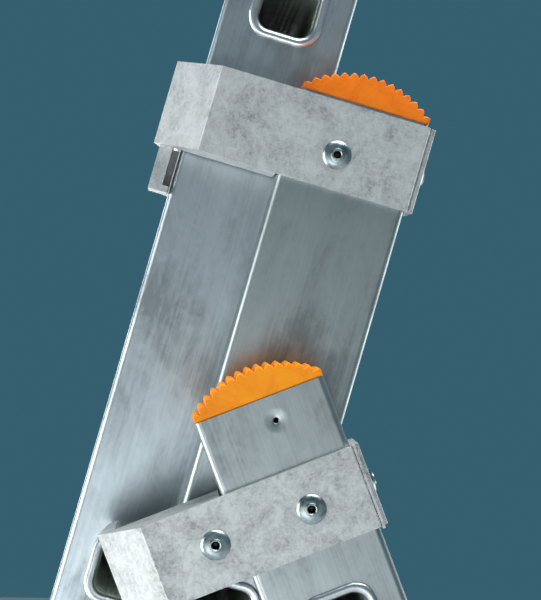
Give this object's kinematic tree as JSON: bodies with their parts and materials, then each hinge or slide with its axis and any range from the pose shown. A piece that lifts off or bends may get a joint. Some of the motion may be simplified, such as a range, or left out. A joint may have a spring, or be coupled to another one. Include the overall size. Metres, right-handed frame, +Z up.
{
  "type": "extension ladder",
  "caption": "Three-section aluminium combination ladder standing as an A-frame, its upper section sliding out above the apex, with guide brackets, toothed end caps and rung hooks.",
  "frame": {"origin": "on the floor, midway between the furthest front and rear points of the feet, and midway between the stiles", "axes": "+X across the ladder to its right-hand stiles, +Y from the climbing side to the rear leg, +Z up"},
  "size_m": [0.4918, 1.67, 3.414],
  "materials": {
    "stile": "satin extruded, drawn lengthwise",
    "rung": "satin extruded",
    "casting": "matt mottled casting",
    "cap": "fine satin moulding",
    "foot": "satin moulding",
    "pad": "satin",
    "latch": "satin",
    "rivet": "bright zinc plated",
    "pin": "turned",
    "strap": "woven webbing"
  },
  "bodies": {
    "base_section": {"base_stile_left": "stile", "base_stile_right": "stile", "base_rung_1": "rung", "base_rung_2": "rung", "base_rung_3": "rung", "base_rung_4": "rung", "base_rung_5": "rung", "base_rung_6": "rung", "base_rung_7": "rung", "base_rung_8": "rung", "base_rung_9": "rung", "base_bracket_left": "casting", "base_bracket_right": "casting", "base_cap_left": "cap", "base_cap_right": "cap", "base_foot_left": "foot", "base_foot_right": "foot", "base_guide_pads": "pad", "base_fasteners": "rivet", "fold_pins": "pin", "spreader_straps": "strap"},
    "middle_section": {"middle_stile_left": "stile", "middle_stile_right": "stile", "middle_rung_1": "rung", "middle_rung_2": "rung", "middle_rung_3": "rung", "middle_rung_4": "rung", "middle_rung_5": "rung", "middle_rung_6": "rung", "middle_rung_7": "rung", "middle_rung_8": "rung", "middle_rung_9": "rung", "middle_bracket_left": "casting", "middle_bracket_right": "casting", "middle_cap_left": "cap", "middle_cap_right": "cap", "middle_foot_left": "foot", "middle_foot_right": "foot", "middle_guide_pads": "pad", "middle_fasteners": "rivet"},
    "upper_section": {"upper_stile_left": "stile", "upper_stile_right": "stile", "upper_rung_1": "rung", "upper_rung_2": "rung", "upper_rung_3": "rung", "upper_rung_4": "rung", "upper_rung_5": "rung", "upper_rung_6": "rung", "upper_rung_7": "rung", "upper_rung_8": "rung", "upper_rung_9": "rung", "upper_cap_left": "cap", "upper_cap_right": "cap", "upper_foot_left": "foot", "upper_foot_right": "foot", "rung_hook_left": "casting", "rung_hook_right": "casting", "upper_fasteners": "rivet"},
    "left_latch": {"hook_latch_left": "latch"},
    "right_latch": {"hook_latch_right": "latch"}
  },
  "joints": [
    {"name": "leg_fold", "type": "hinge", "parent": "base_section", "child": "middle_section", "pos_m": [0, -0.21372, 2.34296], "axis": [1, 0, 0], "range_deg": [0, 36.85], "deforming": ["spreader_straps"]},
    {"name": "upper_slide", "type": "slide", "parent": "middle_section", "child": "upper_section", "axis": [0, 0.2368, 0.9716], "range_m": [-0.84, 0.84]},
    {"name": "left_latch_hinge", "type": "hinge", "parent": "upper_section", "child": "left_latch", "pos_m": [0, -0.6001, 0.95632], "axis": [-1, 0, 0], "range_deg": [0, 70], "stiffness_Nm_per_rad": 0.3, "springref_deg": -34.38},
    {"name": "right_latch_hinge", "type": "hinge", "parent": "upper_section", "child": "right_latch", "pos_m": [0, -0.6001, 0.95632], "axis": [-1, 0, 0], "range_deg": [0, 70], "stiffness_Nm_per_rad": 0.3, "springref_deg": -34.38}
  ]
}
